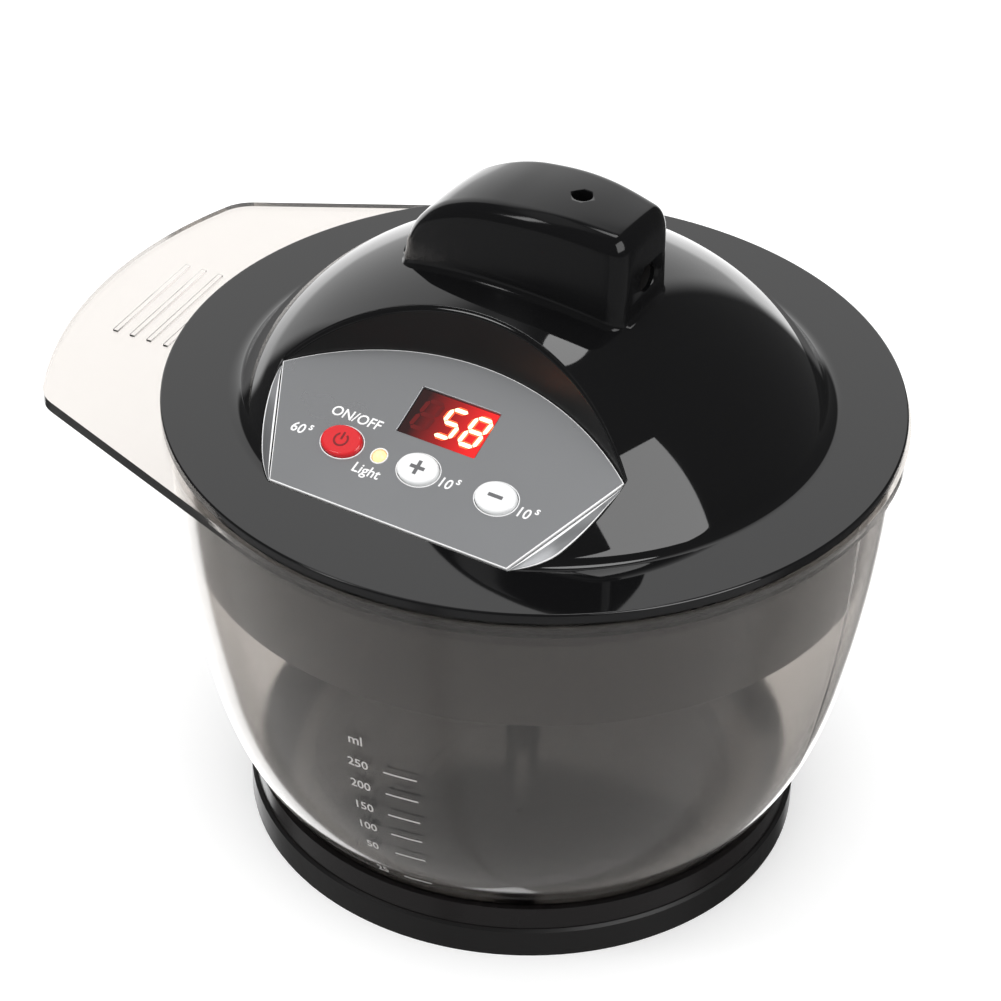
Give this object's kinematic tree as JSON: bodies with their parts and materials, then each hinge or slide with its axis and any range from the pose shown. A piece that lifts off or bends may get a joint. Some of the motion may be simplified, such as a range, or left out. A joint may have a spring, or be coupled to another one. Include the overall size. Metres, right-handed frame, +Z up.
{
  "type": "electric hair colour mixing bowl",
  "caption": "Smoke-tinted bowl with a side handle, closed by a domed black lid that holds a geared motor, a sloped timer panel with buttons and a grip; a paddle stirs below.",
  "frame": {"origin": "middle of the foot, on the table", "axes": "+Z up along the lid's and bowl's axis; the control panel faces -Y; the handle points along -X, a few degrees off"},
  "size_m": [0.1925, 0.1664, 0.162],
  "materials": {
    "smoke_bowl": "clear smoke-tinted moulding, gloss",
    "black_gloss": "black high gloss",
    "black_rubber": "satin rubber",
    "black_matte": "matte moulding",
    "silver_satin": "satin silver paint on plastic",
    "red_window": "dark red filter, gloss",
    "red_button": "red gloss",
    "white_button": "white gloss",
    "indicator_lens": "diffused lens",
    "steel": "plain steel",
    "cell_jacket": "printed jacket",
    "circuit_board": "green board",
    "gear_white": "natural acetal",
    "brass": "turned brass"
  },
  "bodies": {
    "bowl": {"bowl": "smoke_bowl", "base_cup": "black_gloss", "foot_ring": "black_rubber"},
    "lid": {"battery_1": "cell_jacket", "battery_2": "cell_jacket", "battery_3": "cell_jacket", "battery_4": "cell_jacket", "battery_contacts": "steel", "battery_cover": "black_matte", "battery_tray": "black_matte", "board_screws": "steel", "control_board": "circuit_board", "display_module": "black_matte", "display_window": "red_window", "drum_housing": "black_matte", "gear_plate": "steel", "housing_screws": "steel", "idler_pin": "steel", "indicator_light": "indicator_lens", "knob_screw": "steel", "knob_shell": "black_gloss", "lid_seal": "black_rubber", "lid_shell": "black_gloss", "minus_switch": "black_matte", "motor": "steel", "motor_screws": "steel", "on_off_switch": "black_matte", "panel_housing": "silver_satin", "plate_screws": "steel", "plus_switch": "black_matte", "power_inlet": "black_matte", "shaft_bush": "brass", "shaft_seal": "black_rubber"},
    "on_off_button": {"on_off_button": "red_button"},
    "plus_button": {"plus_button": "white_button"},
    "minus_button": {"minus_button": "white_button"},
    "motor_rotor": {"motor_shaft": "steel", "motor_pinion": "brass"},
    "idler": {"idler_gear": "gear_white"},
    "mixer": {"output_shaft": "steel", "output_gear": "gear_white", "stirring_paddle": "black_matte"}
  },
  "joints": [
    {"name": "lid_lift", "type": "slide", "parent": "bowl", "child": "lid", "axis": [0, 0, 1], "range_m": [0, 0.105]},
    {"name": "on_off_press", "type": "slide", "parent": "lid", "child": "on_off_button", "axis": [0, 0.4226, -0.9063], "range_m": [0, 0.0008], "stiffness_N_per_m": 300},
    {"name": "plus_press", "type": "slide", "parent": "lid", "child": "plus_button", "axis": [0, 0.4226, -0.9063], "range_m": [0, 0.0008], "stiffness_N_per_m": 300},
    {"name": "minus_press", "type": "slide", "parent": "lid", "child": "minus_button", "axis": [0, 0.4226, -0.9063], "range_m": [0, 0.0008], "stiffness_N_per_m": 300},
    {"name": "mixer_spin", "type": "hinge", "parent": "lid", "child": "mixer", "pos_m": [0, 0, 0.086], "axis": [0, 0, 1], "continuous": true},
    {"name": "idler_spin", "type": "hinge", "parent": "lid", "child": "idler", "pos_m": [-0.01319, -0.0104, 0.09], "axis": [0, 0, 1], "continuous": true},
    {"name": "motor_spin", "type": "hinge", "parent": "lid", "child": "motor_rotor", "pos_m": [-0.0268, -0.0057, 0.092], "axis": [0, 0, 1], "continuous": true}
  ],
  "couplings": [
    {"joint": "idler_spin", "follows": "mixer_spin", "ratio": -3.6667},
    {"joint": "motor_spin", "follows": "mixer_spin", "ratio": 11}
  ]
}
